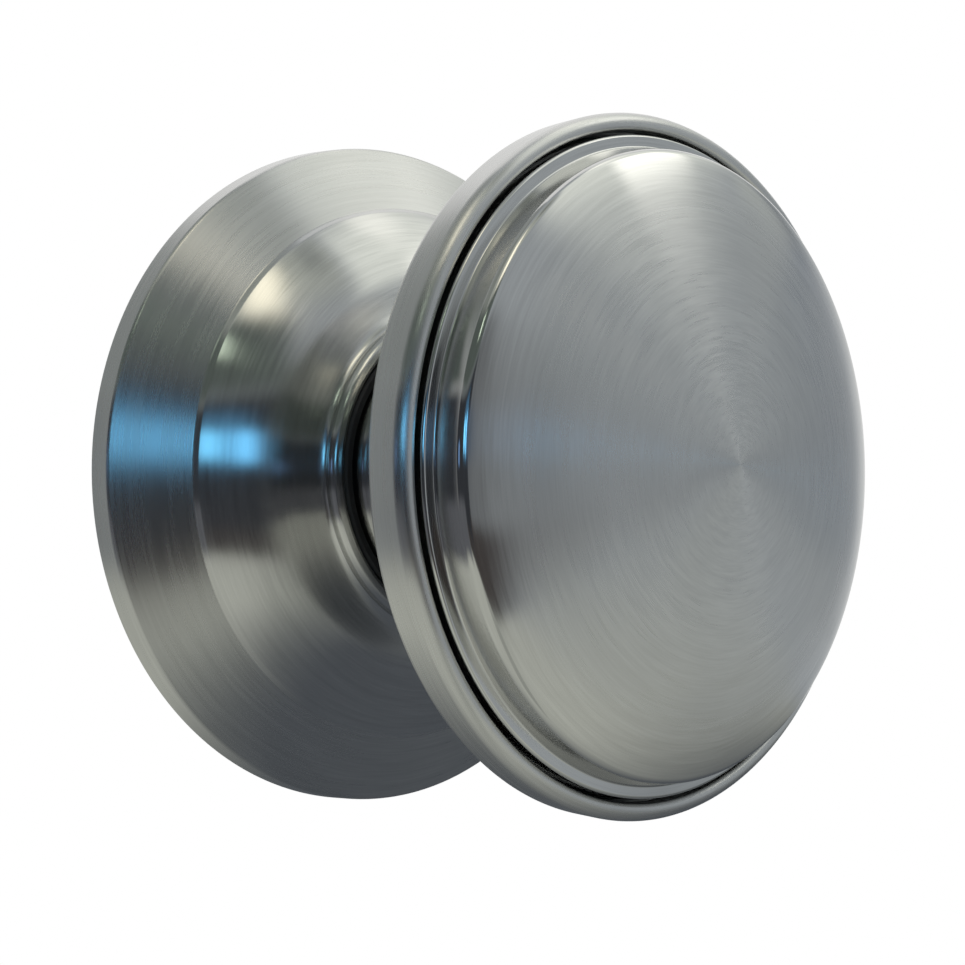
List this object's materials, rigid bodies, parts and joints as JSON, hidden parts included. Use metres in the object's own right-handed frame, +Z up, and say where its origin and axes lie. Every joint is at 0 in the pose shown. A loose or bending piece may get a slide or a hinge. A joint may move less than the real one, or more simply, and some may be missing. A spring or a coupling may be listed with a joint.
{
  "type": "door knob",
  "caption": "Satin steel turning door knob with a domed, grooved head on a round sprung rose, with its square spindle and through bolts.",
  "frame": {"origin": "on the knob's axis, in the plane of the door's face that the rose lies against", "axes": "-Y out of the door towards the user, +Y into the door along the spindle, +Z up, +X to the right of a person facing the knob"},
  "size_m": [0.067, 0.0799, 0.067],
  "materials": {
    "satin_steel": "satin stainless steel, circular brushing",
    "zinc_plated": "bright zinc plate on steel",
    "plain_steel": "plain cold-drawn steel",
    "spring_steel": "oil-hardened spring steel",
    "brass": "turned brass",
    "black_nylon": "moulded black nylon",
    "pale_nylon": "moulded natural nylon"
  },
  "bodies": {
    "rose": {"fixing_plate": "zinc_plated", "rose_cover": "satin_steel", "cover_snap_ring": "spring_steel", "neck_bush": "black_nylon", "plate_bush": "brass", "spring_cage": "zinc_plated", "cage_rivet_1": "plain_steel", "cage_rivet_2": "plain_steel", "cage_rivet_3": "plain_steel", "return_spring": "spring_steel", "through_bolt_upper": "zinc_plated", "through_bolt_lower": "zinc_plated", "thrust_washer": "brass"},
    "knob": {"knob_shell": "satin_steel", "face_cap": "satin_steel", "shank_core": "zinc_plated", "lock_nut": "plain_steel", "backing_disc": "zinc_plated", "dome_support": "pale_nylon", "cap_screw": "zinc_plated", "grub_screw": "plain_steel", "drive_hub": "zinc_plated", "spring_driver": "plain_steel", "wave_washer": "spring_steel", "hub_circlip": "spring_steel", "spindle": "plain_steel"}
  },
  "joints": [
    {"name": "knob_turn", "type": "hinge", "parent": "rose", "child": "knob", "pos_m": [0, 0, 0], "axis": [0, -1, 0], "range_deg": [-45, 45], "stiffness_Nm_per_rad": 0.6, "deforming": ["return_spring"]}
  ]
}
